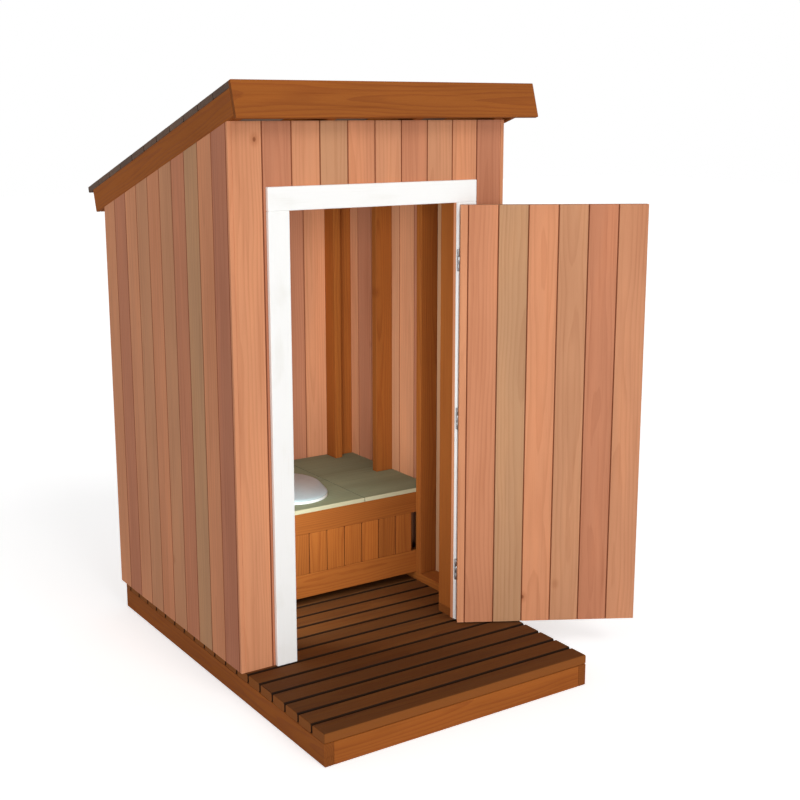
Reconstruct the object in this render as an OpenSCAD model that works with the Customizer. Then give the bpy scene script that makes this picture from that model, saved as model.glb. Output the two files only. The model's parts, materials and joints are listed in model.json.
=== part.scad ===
/* [Floor] */
// Width of the floor, side to side
floor_w = 1219; // [1050:1:1500]
// Depth of the floor with its porch
floor_d = 1829; // [1600:1:2200]
// Depth of the porch, from the floor edge to the face of the front siding
porch_d = 610; // [450:1:750]
// Open joint between two deck boards
deck_gap = 10; // [5:1:14]
// Joists between the two side rims, an odd number so that one is in the middle
joist_count = 3; // [1:2:5]
// Bevel along the long edges of a deck board
deck_ease = 4; // [2:0.5:6]

/* [Lumber] */
// Thickness of framing lumber
frame_t = 38; // [32:1:44]
// Width of framing lumber
frame_w = 89; // [80:1:100]
// Thickness of trim boards
trim_t = 19; // [15:1:24]
// Width of the trim boards round the doorway
trim_w = 89; // [60:1:110]
// Thickness of the siding boards
siding_t = 16; // [12:1:20]
// Face width of one siding board
siding_board = 122; // [90:1:150]
// Width of the V joint between siding boards
joint_w = 6; // [4:0.5:8]
// Depth of the V joint
joint_deep = 2.5; // [1.5:0.5:4]

/* [Walls] */
// Height of the rafter underside over the doorway's top, at the front of the wall frame
over_door_h = 321; // [240:1:500]
// Spacing of the studs in the side walls, measured from the back
stud_step = 371; // [330:1:400]
// Studs in the back wall
back_studs = 4; // [3:1:5]
// Width of the doorway
opening_w = 775; // [650:1:800]
// Height of the doorway over the deck
opening_h = 1784; // [1700:1:1850]
// Depth of the rafter seat cut over the front and back plates
seat_cut = 15; // [8:1:20]

/* [Roof] */
// Slope of the roof, in degrees
roof_pitch = 17.05; // [14:0.05:19]
// Rafters side to side
rafter_count = 4; // [3:1:5]
// Depth of the rafters and the barge boards
rafter_w = 101; // [89:1:140]
// Rafter overhang past the front of the wall frame, along the slope
front_run = 80; // [60:1:180]
// Rafter overhang past the back of the wall frame, along the slope
back_run = 93; // [60:1:150]
// Roof overhang past the wall frame on the right
right_over = 130; // [90:1:180]
// Distance of the right barge board from the wall frame
right_barge = 41; // [20:1:60]
// Thickness of the roof boards
roof_board_t = 26; // [19:1:30]
// Face width of one roof board
roof_board_w = 134.5; // [110:0.5:150]
// Least joint between two roof boards
roof_joint = 2; // [1:0.5:4]
// Height of the front fascia
fascia_h = 140; // [120:1:180]
// Overhang of the roof boards past the back fascia, along the slope
back_lip = 55; // [10:1:80]

/* [Bench] */
// Height of the bench over the deck
bench_h = 444; // [400:1:500]
// Thickness of the bench top
bench_t = 19; // [16:1:28]
// Width of the middle panel that carries the seat
seat_panel_w = 488; // [430:1:560]
// Height of the rail under the bench top, at the front
top_rail_h = 95; // [70:1:140]
// Height of the rail at the foot of the bench front
low_rail_h = 106; // [70:1:140]
// Width of one front slat
slat_w = 89; // [60:1:110]
// Thickness of a front slat
slat_t = 19; // [15:1:25]
// Least joint between two slats
slat_gap = 1.5; // [1:0.5:6]

/* [Seat] */
// Distance from the bench front to the middle of the seat
seat_set = 343; // [330:1:380]
// Radius of the broad back end of the seat
seat_r = 185; // [170:1:200]
// Radius of its narrow front end
seat_nose_r = 150; // [130:1:165]
// Distance between the two ends' centres
seat_reach = 130; // [110:1:140]
// Width of the seat ring, edge to hole
ring_w = 68; // [55:1:80]
// Thickness of the seat ring
ring_t = 12; // [10:1:18]
// Thickness of the lid
lid_t = 11; // [9:1:16]
// Bevel round the top of the lid, sideways
lid_bevel = 12; // [6:1:20]
// Bevel round the top of the seat ring
ring_bevel = 4; // [2:0.5:5]
// Radius of the lid's hinge pin
lid_pin_r = 4; // [3:0.5:5]
// Radius of the lid's hinge lugs
lid_lug_r = 9; // [8:0.5:9.5]
// Distance of the lid's hinge pin behind the seat ring
lid_pin_back = 12; // [11:1:16]

/* [Door] */
// Clear gap round the closed door
door_gap = 6.5; // [6:0.5:8]
// Width of the stiles and rails on the outside of the door
stile_w = 89; // [70:1:120]
// Door angle at rest, in degrees from closed
door_angle = 150; // [90:1:165]
// Radius of the hinge barrels
barrel_r = 6; // [5.5:0.5:6]
// Radius of the hinge pins
pin_r = 3; // [2:0.5:3.5]
// Height of one hinge
hinge_h = 90; // [70:1:120]
// Width of a hinge leaf
leaf_w = 40; // [30:1:55]
// Thickness of a hinge leaf
leaf_t = 2.5; // [2:0.5:3]
// Distance of the end hinges from the door's top and bottom
hinge_inset = 180; // [120:1:260]

/* [Hidden] */

// Running clearance between a hinge pin and its bore
pin_clear = 0.05;
// Seating clearance of pieces that meet on the slope of the roof
slope_seat = 0.1;
// Clear space beside a piece that is let into another
notch_gap = 1.5;
// Space between pieces that share a node
split = 0.5;
// Rest gap between the lid and the seat ring
lid_gap = 0.3;
// Reach past a face for cuts that go right through
past = 1;
// Shortest deck board that is worth ripping
least_rip = 15;
round_fn = 64;

// Heights
deck_z = frame_w + frame_t;
front_h = opening_h + over_door_h;
sill_z = deck_z + frame_t;
head_z = deck_z + opening_h;
bench_z = deck_z + bench_h;

// Places across the width, from the left edge of the floor
mid_x = floor_w / 2;
open_l = mid_x - opening_w / 2;
open_r = mid_x + opening_w / 2;

// Places along the depth, from the front edge of the floor
wall_front = porch_d + siding_t;
wall_back = floor_d;
wall_run = wall_back - wall_front;

// Underside of the rafters, as a height at one depth
function rafter_z(y) = deck_z + front_h - (y - wall_front) * tan(roof_pitch);

// Top and underside of the sloping top plates
function plate_top(y) = rafter_z(y) - slope_seat;
function plate_low(y) = plate_top(y) - frame_t / cos(roof_pitch);

// Places along the slope, from the front of the wall frame at the rafter underside
roof_end = wall_run / cos(roof_pitch) + back_run;
roof_run = front_run + roof_end + trim_t + back_lip;
front_plate_top = rafter_z(wall_front + frame_w) + seat_cut;
back_plate_top = rafter_z(wall_back) + seat_cut;

// Moves a piece from the floor's front left corner to the middle of the floor
module placed() {
    translate([-floor_w / 2, -floor_d / 2, 0])
        children();
}

// Stands a piece on the slope of the rafter underside
module on_slope() {
    translate([0, wall_front, deck_z + front_h])
        rotate([-roof_pitch, 0, 0])
            children();
}

// Board with a square section between two corners
module board(from, to) {
    translate(from)
        cube(to - from);
}

// Upright or plate drawn as a side view of depth and height, from one side to the other
module side_view(x_from, x_to, points) {
    translate([x_from, 0, 0])
        rotate([90, 0, 90])
            linear_extrude(x_to - x_from)
                polygon(points);
}

// Mirrors a left piece to the right side of the floor
module right_side() {
    translate([floor_w, 0, 0])
        mirror([1, 0, 0])
            children();
}

module rim_left() {
    color("peru")
        placed()
            board([0, 0, 0], [frame_t, floor_d, frame_w]);
}

module rim_right() {
    color("peru")
        placed()
            board([floor_w - frame_t, 0, 0], [floor_w, floor_d, frame_w]);
}

module rim_front() {
    color("peru")
        placed()
            board([frame_t, 0, 0], [floor_w - frame_t, frame_t, frame_w]);
}

module rim_back() {
    color("peru")
        placed()
            board([frame_t, floor_d - frame_t, 0], [floor_w - frame_t, floor_d, frame_w]);
}

module floor_joists() {
    step = floor_w / (joist_count + 1);
    color("peru")
        placed()
            for (i = [1 : joist_count])
                board([i * step - frame_t / 2, frame_t, 0],
                    [i * step + frame_t / 2, floor_d - frame_t, frame_w]);
}

// Deck board laid flat with its four long edges eased
module deck_board(y_from, width) {
    e = deck_ease;
    side_view(0, floor_w, [
        [y_from + e, frame_w], [y_from + width - e, frame_w],
        [y_from + width, frame_w + e], [y_from + width, deck_z - e],
        [y_from + width - e, deck_z], [y_from + e, deck_z],
        [y_from, deck_z - e], [y_from, frame_w + e]]);
}

module deck_boards() {
    step = frame_w + deck_gap;
    full = floor((floor_d + deck_gap) / step);
    rest = floor_d - full * step;
    color("saddlebrown")
        placed() {
            for (i = [0 : full - 1])
                deck_board(i * step, frame_w);
            if (rest > least_rip)
                deck_board(full * step, rest);
        }
}

// Bottom plate and sloping top plate of a side wall
module side_wall_plates() {
    board([0, wall_front, deck_z], [frame_w, wall_back, sill_z]);
    side_view(0, frame_w, [
        [wall_front, plate_low(wall_front)], [wall_back, plate_low(wall_back)],
        [wall_back, plate_top(wall_back)], [wall_front, plate_top(wall_front)]]);
}

// Stud of a side wall, cut to the slope
module side_wall_stud(y) {
    side_view(0, frame_w, [
        [y, sill_z], [y + frame_t, sill_z],
        [y + frame_t, plate_low(y + frame_t) - slope_seat], [y, plate_low(y) - slope_seat]]);
}

stud_back = wall_back - frame_t;
bench_stud = stud_back - 2 * stud_step;
bench_front = bench_stud + frame_t;

module side_wall_studs() {
    for (y = [wall_front, bench_stud, stud_back - stud_step, stud_back])
        side_wall_stud(y);
}

module left_wall_plates() {
    color("chocolate")
        placed()
            side_wall_plates();
}

module left_wall_studs() {
    color("chocolate")
        placed()
            side_wall_studs();
}

module right_wall_plates() {
    color("chocolate")
        placed()
            right_side()
                side_wall_plates();
}

module right_wall_studs() {
    color("chocolate")
        placed()
            right_side()
                side_wall_studs();
}

module back_wall_plates() {
    color("chocolate")
        placed() {
            board([frame_w, wall_back - frame_w, deck_z], [floor_w - frame_w, wall_back, sill_z]);
            board([frame_w, wall_back - frame_w, back_plate_top - frame_t],
                [floor_w - frame_w, wall_back, back_plate_top]);
        }
}

// Left edges of the studs in the back wall
back_stud_span = floor_w - 2 * frame_w - frame_t;
back_stud_x = [for (i = [0 : back_studs - 1]) frame_w + i * back_stud_span / (back_studs - 1)];

module back_wall_studs() {
    color("chocolate")
        placed()
            for (x = back_stud_x)
                board([x, wall_back - frame_w, sill_z],
                    [x + frame_t, wall_back, back_plate_top - frame_t]);
}

module front_wall_plates() {
    color("chocolate")
        placed() {
            board([frame_w, wall_front, deck_z], [open_l, wall_front + frame_w, sill_z]);
            board([open_r, wall_front, deck_z], [floor_w - frame_w, wall_front + frame_w, sill_z]);
            board([frame_w, wall_front, front_plate_top - frame_t],
                [floor_w - frame_w, wall_front + frame_w, front_plate_top]);
        }
}

// Two door studs, and two short studs over the header
module front_wall_studs() {
    under = front_plate_top - frame_t;
    third = opening_w / 3;
    color("chocolate")
        placed() {
            for (x = [open_l - frame_t, open_r])
                board([x, wall_front, sill_z], [x + frame_t, wall_front + frame_w, under]);
            for (x = [open_l + third, open_r - third])
                board([x - frame_t / 2, wall_front, head_z + frame_w],
                    [x + frame_t / 2, wall_front + frame_w, under]);
        }
}

// Two boards on edge between the door studs
module door_header() {
    color("chocolate")
        placed()
            for (y = [wall_front, wall_front + frame_w - frame_t])
                board([open_l, y, head_z], [open_r, y + frame_t, head_z + frame_w]);
}

// Section of siding boards with a V joint on both faces, along a run from one place to another
function joints(from, to, start, step) =
    [for (k = [floor((from - start) / step) : ceil((to - start) / step)])
        let (p = start + k * step)
        if (p > from + joint_w && p < to - joint_w) p];

function joined_section(from, to, start, step) =
    let (places = joints(from, to, start, step), n = len(places))
    concat(
        [[from, 0]],
        [for (p = places, d = [-1, 0, 1]) [p + d * joint_w / 2, d == 0 ? joint_deep : 0]],
        [[to, 0], [to, siding_t]],
        [for (i = [n - 1 : -1 : 0], d = [1, 0, -1])
            [places[i] + d * joint_w / 2, d == 0 ? siding_t - joint_deep : siding_t]],
        [[from, siding_t]]);

// Upright siding that runs across the front or the back
module siding_across(x_from, x_to, y, z_from, z_to, start = 0) {
    translate([0, y, z_from])
        linear_extrude(z_to - z_from)
            polygon(joined_section(x_from, x_to, start, siding_board));
}

side_face_back = wall_back + siding_t;
side_face_front = wall_front - siding_t;

// Left siding, outside the frame, its top cut to the slope level with the top plates
module side_siding() {
    top = plate_top(side_face_front);
    low = plate_top(side_face_back);
    intersection() {
        translate([0, 0, deck_z])
            rotate([0, 0, 90])
                linear_extrude(top - deck_z)
                    polygon(joined_section(side_face_front, side_face_back, side_face_back,
                        siding_board));
        side_view(-siding_t - past, past, [
            [side_face_front - past, 0], [side_face_back + past, 0],
            [side_face_back + past, low - past * tan(roof_pitch)],
            [side_face_front - past, top + past * tan(roof_pitch)]]);
    }
}

module left_siding() {
    color("burlywood")
        placed()
            side_siding();
}

module right_siding() {
    color("burlywood")
        placed()
            right_side()
                side_siding();
}

module back_siding() {
    color("burlywood")
        placed()
            difference() {
                siding_across(0, floor_w, wall_back, deck_z, rafter_z(wall_back));
                on_slope()
                    board([-past, 0, -slope_seat], [floor_w + past, roof_end + frame_w, frame_w]);
            }
}

// Front siding from one side to another, its top cut to the slope under the rafters
module front_siding_piece(x_from, x_to, z_from) {
    difference() {
        siding_across(x_from, x_to, side_face_front, z_from, rafter_z(side_face_front));
        on_slope()
            board([-past, -frame_w, -slope_seat], [floor_w + past, frame_w, frame_w]);
    }
}

module front_siding_left() {
    color("burlywood")
        placed()
            front_siding_piece(0, open_l, deck_z);
}

module front_siding_right() {
    color("burlywood")
        placed()
            front_siding_piece(open_r, floor_w, deck_z);
}

module front_siding_over_door() {
    color("burlywood")
        placed()
            front_siding_piece(open_l, open_r, head_z);
}

trim_face = side_face_front - trim_t;

module door_trim_left() {
    color("white")
        placed()
            board([open_l - trim_w, trim_face, deck_z], [open_l, side_face_front, head_z]);
}

module door_trim_right() {
    color("white")
        placed()
            board([open_r, trim_face, deck_z], [open_r + trim_w, side_face_front, head_z]);
}

module door_trim_head() {
    color("white")
        placed()
            board([open_l - trim_w, trim_face, head_z],
                [open_r + trim_w, side_face_front, head_z + trim_w]);
}

// Left edges of the rafters
rafter_x = [for (i = [0 : rafter_count - 1]) i * (floor_w - frame_t) / (rafter_count - 1)];

// Rafters on edge, notched over the front and back plates
module rafters() {
    color("chocolate")
        placed()
            difference() {
                on_slope()
                    for (x = rafter_x)
                        board([x, -front_run, 0], [x + frame_t, roof_end, rafter_w]);
                board([frame_w - past, wall_front, front_plate_top - frame_w],
                    [floor_w - frame_w + past, wall_front + frame_w, front_plate_top]);
                board([frame_w - past, wall_back - frame_w, back_plate_top - frame_w],
                    [floor_w - frame_w + past, wall_back, back_plate_top]);
            }
}

// Boards laid across the rafters, spread so that they fill the slope
module roof_boards() {
    count = floor((roof_run + roof_joint) / (roof_board_w + roof_joint));
    step = (roof_run - roof_board_w) / (count - 1);
    color("dimgray")
        placed()
            on_slope()
                for (i = [0 : count - 1])
                    board([-trim_t, -front_run + i * step, rafter_w],
                        [floor_w + right_over, -front_run + i * step + roof_board_w,
                            rafter_w + roof_board_t]);
}

module front_fascia() {
    color("sienna")
        placed()
            on_slope()
                board([-trim_t, -front_run - trim_t, rafter_w + roof_board_t - fascia_h],
                    [floor_w + right_over, -front_run, rafter_w + roof_board_t]);
}

module back_fascia() {
    color("sienna")
        placed()
            on_slope()
                board([0, roof_end, 0], [floor_w + right_over, roof_end + trim_t, rafter_w]);
}

// Board on edge under the roof boards, from the front fascia down the slope
module barge_board(x_from, to) {
    on_slope()
        board([x_from, -front_run, 0], [x_from + trim_t, to, rafter_w]);
}

module left_barge_board() {
    color("sienna")
        placed()
            barge_board(-trim_t, roof_end + trim_t);
}

module right_barge_board() {
    color("sienna")
        placed()
            barge_board(floor_w + right_barge, roof_end);
}

// Studs of all walls at bench height, as the space that the bench top is cut round
module stud_spaces() {
    g = notch_gap;
    low = bench_z - bench_t - past;
    high = bench_z + past;
    for (y = [stud_back - stud_step, stud_back], x = [-past, floor_w - frame_w - g])
        board([x, y - g, low], [x + frame_w + g + past, y + frame_t + g, high]);
    for (x = back_stud_x)
        board([x - g, wall_back - frame_w - g, low], [x + frame_t + g, wall_back + past, high]);
}

// Panel of the bench top from one side to another
module bench_panel(x_from, x_to) {
    difference() {
        board([x_from, bench_front, bench_z - bench_t], [x_to, wall_back, bench_z]);
        stud_spaces();
    }
}

panel_l = mid_x - seat_panel_w / 2;
panel_r = mid_x + seat_panel_w / 2;
seat_y = bench_front + seat_set;

// Outline of the seat: a broad end and a narrow end joined by straight tangents
module egg(r_back, r_nose, reach) {
    hull() {
        circle(r_back, $fn = round_fn);
        translate([0, -reach])
            circle(r_nose, $fn = round_fn);
    }
}

module bench_top_left() {
    color("darkkhaki")
        placed()
            bench_panel(0, panel_l - split);
}

module bench_top_right() {
    color("darkkhaki")
        placed()
            bench_panel(panel_r + split, floor_w);
}

module bench_top_middle() {
    color("darkkhaki")
        placed()
            difference() {
                bench_panel(panel_l + split, panel_r - split);
                translate([mid_x, seat_y, bench_z - bench_t - past])
                    linear_extrude(bench_t + 2 * past)
                        egg(seat_r - ring_w, seat_nose_r - ring_w, seat_reach);
            }
}

rail_top = bench_z - bench_t;
slat_top = rail_top - top_rail_h;
slat_low = sill_z + low_rail_h;

module bench_top_rail() {
    color("chocolate")
        placed()
            board([0, bench_front, slat_top], [floor_w, bench_front + frame_t, rail_top]);
}

module bench_bottom_rail() {
    color("chocolate")
        placed()
            board([0, bench_front, sill_z], [floor_w, bench_front + frame_t, slat_low]);
}

// Upright slats between the two rails, centred between the side walls
module bench_slats() {
    room = floor_w - 2 * frame_w;
    count = floor((room + slat_gap) / (slat_w + slat_gap));
    step = slat_w + slat_gap;
    first = mid_x - (count * step - slat_gap) / 2;
    color("chocolate")
        placed()
            for (i = [0 : count - 1])
                board([first + i * step, bench_front, slat_low],
                    [first + i * step + slat_w, bench_front + slat_t, slat_top]);
}

// Bearers under the bench top: along both walls, under both joints and across the back
module bench_bearers() {
    from = bench_front + frame_t;
    to = wall_back - frame_w;
    low = rail_top - frame_w;
    color("chocolate")
        placed() {
            for (x = [frame_w, floor_w - frame_w - frame_t])
                board([x, from, low], [x + frame_t, to, rail_top]);
            for (x = [panel_l, panel_r])
                board([x - frame_t / 2, from, low], [x + frame_t / 2, to - frame_t - split, rail_top]);
            board([frame_w + frame_t + split, to - frame_t, low],
                [floor_w - frame_w - frame_t - split, to, rail_top]);
        }
}

// Hinge of the seat lid
lid_axis = [mid_x, seat_y + seat_r + lid_pin_back, bench_z + ring_t + lid_t / 2];
lug_x = 45;
lug_w = 24;
post_w = 22;

// Round bar along the width, centred on the lid's hinge axis
module lid_rod(x_from, x_to, r) {
    translate([lid_axis[0] + x_from, lid_axis[1], lid_axis[2]])
        rotate([0, 90, 0])
            cylinder(h = x_to - x_from, r = r, $fn = round_fn);
}

// Plate with the seat's outline and a bevel round its top
module beveled_egg(height, edge, bevel) {
    hull() {
        linear_extrude(edge)
            egg(seat_r, seat_nose_r, seat_reach);
        linear_extrude(height)
            egg(seat_r - bevel, seat_nose_r - bevel, seat_reach);
    }
}

// Seat ring with the two hinge posts behind it and their pins
module seat_ring() {
    color("white")
        placed() {
            translate([mid_x, seat_y, bench_z])
                difference() {
                    beveled_egg(ring_t, ring_t - ring_bevel, ring_bevel);
                    translate([0, 0, -past])
                        linear_extrude(ring_t + 2 * past)
                            egg(seat_r - ring_w, seat_nose_r - ring_w, seat_reach);
                }
            for (side = [-1, 1]) {
                outer = side * (lug_x + lug_w + split + post_w / 2);
                board([mid_x + outer - post_w / 2, seat_y + seat_r / 2, bench_z],
                    [mid_x + outer + post_w / 2, lid_axis[1] + lid_lug_r, bench_z + ring_t]);
                lid_rod(outer - post_w / 2, outer + post_w / 2, lid_lug_r);
                inner = side * (lug_x + lug_w + split);
                lid_rod(min(inner, inner - side * (lug_w + split)),
                    max(inner, inner - side * (lug_w + split)), lid_pin_r);
            }
        }
}

// Lid with a beveled top and two hinge lugs
module seat_lid() {
    low = bench_z + ring_t + lid_gap;
    edge = lid_t / 2;
    color("lightgray")
        placed()
            difference() {
                union() {
                    translate([mid_x, seat_y, low])
                        beveled_egg(lid_t, edge, lid_bevel);
                    for (side = [-1, 1]) {
                        middle = side * (lug_x + lug_w / 2);
                        board([mid_x + middle - lug_w / 2, seat_y + seat_r / 2, low],
                            [mid_x + middle + lug_w / 2, lid_axis[1], low + edge]);
                        lid_rod(middle - lug_w / 2, middle + lug_w / 2, lid_lug_r);
                    }
                }
                lid_rod(-lug_x - lug_w - past, lug_x + lug_w + past, lid_pin_r + pin_clear);
            }
}

// Closed place of the door
door_l = open_l + door_gap;
door_r = open_r - door_gap;
door_low = deck_z + door_gap;
door_high = head_z - door_gap;

// Hinge axis, in the middle of the gap and in front of the trim
axis_x = open_r - door_gap / 2;
axis_y = trim_face - barrel_r;

// Turns a piece drawn with the door closed to the rest angle
module swung() {
    translate([axis_x, axis_y, 0])
        rotate([0, 0, door_angle])
            translate([-axis_x, -axis_y, 0])
                children();
}

module door_boards() {
    color("burlywood")
        placed()
            swung()
                siding_across(door_l, door_r, side_face_front, door_low, door_high, door_l);
}

module door_stiles() {
    color("burlywood")
        placed()
            swung()
                for (x = [door_l, door_r - stile_w])
                    board([x, trim_face, door_low], [x + stile_w, side_face_front, door_high]);
}

// Top, middle and bottom rails between the stiles
module door_rails() {
    middle = (door_low + door_high - stile_w) / 2;
    color("burlywood")
        placed()
            swung()
                for (z = [door_low, middle, door_high - stile_w])
                    board([door_l + stile_w, trim_face, z],
                        [door_r - stile_w, side_face_front, z + stile_w]);
}

hinge_z = [door_low + hinge_inset, (door_low + door_high - hinge_h) / 2,
    door_high - hinge_inset - hinge_h];
knuckle_h = hinge_h / 3;
leaf_back = barrel_r + 0.8;

module barrel(z, h, r) {
    translate([axis_x, axis_y, z])
        cylinder(h = h, r = r, $fn = round_fn);
}

// Hinge leaves on the door: one knuckle in the middle of each, bored for the pin
module door_hinge_leaves() {
    color("silver")
        placed()
            swung()
                for (z = hinge_z)
                    difference() {
                        union() {
                            board([axis_x - leaf_back - leaf_w, trim_face - leaf_t, z],
                                [axis_x - leaf_back, trim_face, z + hinge_h]);
                            board([axis_x - leaf_back - past, trim_face - leaf_t, z + knuckle_h + split],
                                [axis_x, trim_face, z + 2 * knuckle_h - split]);
                            barrel(z + knuckle_h + split, knuckle_h - 2 * split, barrel_r);
                        }
                        barrel(z - past, hinge_h + 2 * past, pin_r + pin_clear);
                    }
}

// Hinge leaves on the right jamb: the two end knuckles of each, with the pin
module jamb_hinge_leaves() {
    color("silver")
        placed()
            for (z = hinge_z) {
                board([axis_x + leaf_back, trim_face - leaf_t, z],
                    [axis_x + leaf_back + leaf_w, trim_face, z + hinge_h]);
                for (end = [z, z + 2 * knuckle_h]) {
                    board([axis_x, trim_face - leaf_t, end],
                        [axis_x + leaf_back + past, trim_face, end + knuckle_h]);
                    barrel(end, knuckle_h, barrel_r);
                }
                barrel(z, hinge_h, pin_r);
            }
}

rim_left();
rim_right();
rim_front();
rim_back();
floor_joists();
deck_boards();
left_wall_plates();
left_wall_studs();
right_wall_plates();
right_wall_studs();
back_wall_plates();
back_wall_studs();
front_wall_plates();
front_wall_studs();
door_header();
left_siding();
right_siding();
back_siding();
front_siding_left();
front_siding_right();
front_siding_over_door();
door_trim_left();
door_trim_right();
door_trim_head();
rafters();
roof_boards();
front_fascia();
back_fascia();
left_barge_board();
right_barge_board();
bench_top_left();
bench_top_middle();
bench_top_right();
bench_top_rail();
bench_bottom_rail();
bench_slats();
bench_bearers();
seat_ring();
seat_lid();
door_boards();
door_stiles();
door_rails();
door_hinge_leaves();
jamb_hinge_leaves();
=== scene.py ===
import json
import math
import random

import bmesh
import bpy
from bpy.props import FloatProperty, FloatVectorProperty, PointerProperty
from mathutils import Matrix, Vector


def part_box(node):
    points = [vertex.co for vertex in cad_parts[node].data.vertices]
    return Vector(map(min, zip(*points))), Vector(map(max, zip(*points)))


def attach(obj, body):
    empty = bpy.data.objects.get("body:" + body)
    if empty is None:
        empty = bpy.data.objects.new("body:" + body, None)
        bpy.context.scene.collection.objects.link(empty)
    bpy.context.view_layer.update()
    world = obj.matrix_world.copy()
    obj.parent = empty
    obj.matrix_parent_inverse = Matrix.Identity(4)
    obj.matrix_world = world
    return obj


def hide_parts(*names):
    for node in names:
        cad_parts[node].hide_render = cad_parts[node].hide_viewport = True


bl_info = {
    "name": "Wooden outhouse",
    "version": (1, 0, 0),
    "blender": (4, 5, 0),
    "location": "View3D > Sidebar > Outhouse",
    "description": "Boards, lumber, seat and finishes of a small wooden outhouse",
    "category": "Add Mesh",
}

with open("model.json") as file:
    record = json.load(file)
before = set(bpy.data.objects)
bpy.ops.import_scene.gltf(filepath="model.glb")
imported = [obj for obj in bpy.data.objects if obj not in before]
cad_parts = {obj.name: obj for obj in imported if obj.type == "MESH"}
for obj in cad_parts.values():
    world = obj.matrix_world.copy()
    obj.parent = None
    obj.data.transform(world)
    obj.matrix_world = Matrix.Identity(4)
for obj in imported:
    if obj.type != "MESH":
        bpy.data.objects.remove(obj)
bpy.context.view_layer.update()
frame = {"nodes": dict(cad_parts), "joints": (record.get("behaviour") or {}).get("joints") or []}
NODES = frame["nodes"]
DOOR_AXIS = Vector(next(j["pos_m"] for j in frame["joints"] if j["name"] == "door_hinge"))

# Outer face of the door hinge leaves, from the hinge axis, and the screws of one leaf as distances
# from the axis and from the leaf's foot
LEAF_FACE = 0.0035
SCREW_PLACES = ((0.018, 0.013), (0.035, 0.045), (0.018, 0.077))
SCREW_RADIUS = 0.0042
SCREW_HEIGHT = 0.0016

# Tongue and groove across a siding board's thickness, as shares of it, and the space between boards
TONGUE_SPAN = (0.36, 0.64)
GROOVE_SPAN = (0.34, 0.66)
BOARD_GAP = 0.0003

# Reach of a cutting box past what it cuts
PAST = 0.001

# Rounding along the edges of the seat and of the hinge leaves
SEAT_EDGE = 0.0012
LEAF_EDGE = 0.0004

# Distance within which two vertices of a CAD node are one, and the angle within which two faces are
SAME_PLACE = 0.00002
SAME_PLANE = math.radians(0.4)

# Angle past which an edge stays sharp on a piece that is shaded smooth
SHARP = math.radians(35)

# Share of a board that is too little to be one
SLIVER = 0.01

# Most boards of one wall behind and ahead of the place that they are counted from, and the least
# difference between the numbers of two neighbours
BOARDS_BEHIND = 16
BOARDS_AHEAD = 11
LEAST_STEP = 0.15

# What the wood finishes read from a piece, as the kind of value and where it is stored
MARKS = {"grain": ("FLOAT_VECTOR", "POINT"), "board": ("FLOAT", "POINT"), "end_cut": ("FLOAT", "FACE"),
         "joint": ("FLOAT", "FACE"), "rim": ("FLOAT", "FACE")}

# Reach, in metres, over which the boards' numbers shift them through the grain's pattern
BOARD_SHIFT = {"X": 7.31, "Y": 3.17, "Z": 5.23}

# Least share of its normal by which a face looks straight, or partly, one way, and how near the
# edge of the whole piece its outermost sides lie
SQUARE = 0.9
SLANTED = 0.3
RIM_REACH = 0.0035

# Camera that the photograph was drawn from, in metres and degrees
CAMERA_PLACE = (-2.698, -4.528, 2.275)
CAMERA_YAW = 33.71
CAMERA_PITCH = -11.85
CAMERA_LENS = 57.87
CAMERA_SHIFT = (-0.0012, -0.0251)

# Light of the surroundings on the object, where 1 is white
WORLD_LIGHT = 0.35


def tone(red, green, blue):
    """A colour given in the 0 to 255 steps of a screen, as the light values that a shader takes."""
    values = (c / 255 for c in (red, green, blue))
    return tuple(c / 12.92 if c <= 0.04045 else ((c + 0.055) / 1.055) ** 2.4 for c in values)


class OuthouseSizes(bpy.types.PropertyGroup):
    """Sizes that a user would change"""

    board_module: FloatProperty(
        name="Siding board", description="Face width of one siding board", default=0.122, unit="LENGTH")
    siding_joint: FloatProperty(
        name="Siding joint", description="Chamfer on each edge of a siding board", default=0.0028,
        unit="LENGTH")
    tongue: FloatProperty(
        name="Tongue", description="Reach of a siding board's tongue", default=0.006, unit="LENGTH")
    eased_edge: FloatProperty(
        name="Eased edge", description="Rounding of framing, deck and roof boards, trim and slats",
        default=0.003, unit="LENGTH")
    sharp_edge: FloatProperty(
        name="Sharp edge", default=0.0012, unit="LENGTH",
        description="Rounding of the bench's and the door's frame, and half that of the bench top")
    roof_pitch: FloatProperty(
        name="Roof pitch", description="Slope of the roof", default=math.radians(17.05),
        subtype="ANGLE", unit="ROTATION")
    door_angle: FloatProperty(
        name="Door angle", description="Angle that the door stands open at rest",
        default=math.radians(150), subtype="ANGLE", unit="ROTATION")


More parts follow.
